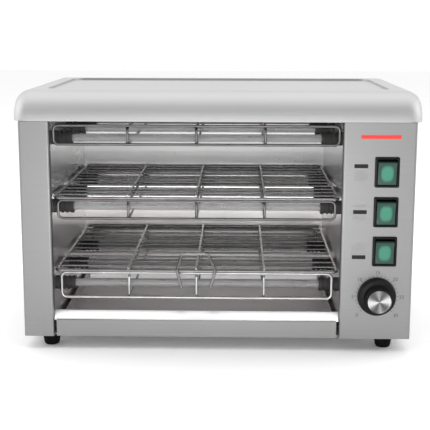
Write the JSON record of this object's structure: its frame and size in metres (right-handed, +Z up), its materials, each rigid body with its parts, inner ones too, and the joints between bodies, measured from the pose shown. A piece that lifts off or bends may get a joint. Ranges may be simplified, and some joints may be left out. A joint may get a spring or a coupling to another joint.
{
  "type": "bar toaster",
  "caption": "Open-front stainless bar toaster with quartz tubes over and under two wire racks, rocker switches, a timer knob and a crumb tray.",
  "frame": {"origin": "bottom centre of the whole part, on the plane that the feet stand on", "axes": "+X to the right seen from the front, +Y from the open front to the rear, +Z up"},
  "size_m": [0.427, 0.311, 0.2765],
  "materials": {
    "casing_steel": "brushed stainless sheet",
    "cavity_steel": "bright polished stainless sheet",
    "tray_steel": "bright stainless sheet",
    "wire_chrome": "chromed round wire",
    "quartz": "frosted quartz tube",
    "holder_ceramic": "dark fired ceramic",
    "coil_wire": "resistance wire coil",
    "link_steel": "plain steel strip",
    "bezel_plastic": "black moulded plastic",
    "rocker_plastic": "translucent green plastic",
    "timer_metal": "zinc plated steel",
    "knob_plastic": "black moulded plastic",
    "cap_metal": "spun aluminium disc",
    "gland_plastic": "black nylon",
    "block_plastic": "natural nylon",
    "lead_insulation": "glass-braided silicone",
    "foot_rubber": "moulded rubber",
    "screw_steel": "plated steel"
  },
  "bodies": {
    "casing": {"base_pan": "casing_steel", "cable_gland": "gland_plastic", "cavity_back": "cavity_steel", "cavity_ceiling": "cavity_steel", "cavity_left_wall": "cavity_steel", "cavity_right_wall": "cavity_steel", "element_links": "link_steel", "foot_screws": "screw_steel", "front_left_foot": "foot_rubber", "front_right_foot": "foot_rubber", "hood": "casing_steel", "hood_screws": "screw_steel", "leads": "lead_insulation", "left_casing": "casing_steel", "lower_coils": "coil_wire", "lower_guard_loops": "wire_chrome", "lower_guard_rings": "wire_chrome", "lower_left_holders": "holder_ceramic", "lower_right_holders": "holder_ceramic", "lower_tube_1": "quartz", "lower_tube_2": "quartz", "lower_tube_3": "quartz", "middle_coils": "coil_wire", "middle_guard_loops": "wire_chrome", "middle_guard_rings": "wire_chrome", "middle_left_holders": "holder_ceramic", "middle_right_holders": "holder_ceramic", "middle_tube_1": "quartz", "middle_tube_2": "quartz", "middle_tube_3": "quartz", "rear_left_foot": "foot_rubber", "rear_panel": "casing_steel", "rear_right_foot": "foot_rubber", "rear_screws": "screw_steel", "right_casing": "casing_steel", "switch_housing_1": "bezel_plastic", "switch_housing_2": "bezel_plastic", "switch_housing_3": "bezel_plastic", "terminal_block": "block_plastic", "timer_body": "timer_metal", "upper_coils": "coil_wire", "upper_guard_loops": "wire_chrome", "upper_guard_rings": "wire_chrome", "upper_left_holders": "holder_ceramic", "upper_right_holders": "holder_ceramic", "upper_tube_1": "quartz", "upper_tube_2": "quartz", "upper_tube_3": "quartz"},
    "knob": {"timer_shaft": "timer_metal", "timer_knob": "knob_plastic", "knob_cap": "cap_metal"},
    "rocker_top": {"rocker_1": "rocker_plastic"},
    "rocker_centre": {"rocker_2": "rocker_plastic"},
    "rocker_low": {"rocker_3": "rocker_plastic"},
    "rack_upper": {"upper_rack": "wire_chrome"},
    "rack_lower": {"lower_rack": "wire_chrome", "rack_handle": "wire_chrome"},
    "tray": {"crumb_tray": "tray_steel"}
  },
  "joints": [
    {"name": "timer_turn", "type": "hinge", "parent": "casing", "child": "knob", "pos_m": [0.17, -0.1305, 0.0613], "axis": [0, 1, 0], "range_deg": [0, 270]},
    {"name": "rocker_top_press", "type": "hinge", "parent": "casing", "child": "rocker_top", "pos_m": [0.1768, -0.1245, 0.1942], "axis": [-1, 0, 0], "range_deg": [0, 16]},
    {"name": "rocker_centre_press", "type": "hinge", "parent": "casing", "child": "rocker_centre", "pos_m": [0.1768, -0.1245, 0.1521], "axis": [-1, 0, 0], "range_deg": [0, 16]},
    {"name": "rocker_low_press", "type": "hinge", "parent": "casing", "child": "rocker_low", "pos_m": [0.1768, -0.1245, 0.11], "axis": [-1, 0, 0], "range_deg": [0, 16]},
    {"name": "rack_upper_slide", "type": "slide", "parent": "casing", "child": "rack_upper", "axis": [0, -1, 0], "range_m": [0, 0.22]},
    {"name": "rack_lower_slide", "type": "slide", "parent": "casing", "child": "rack_lower", "axis": [0, -1, 0], "range_m": [0, 0.22]},
    {"name": "tray_slide", "type": "slide", "parent": "casing", "child": "tray", "axis": [0, -1, 0], "range_m": [0, 0.22]}
  ]
}
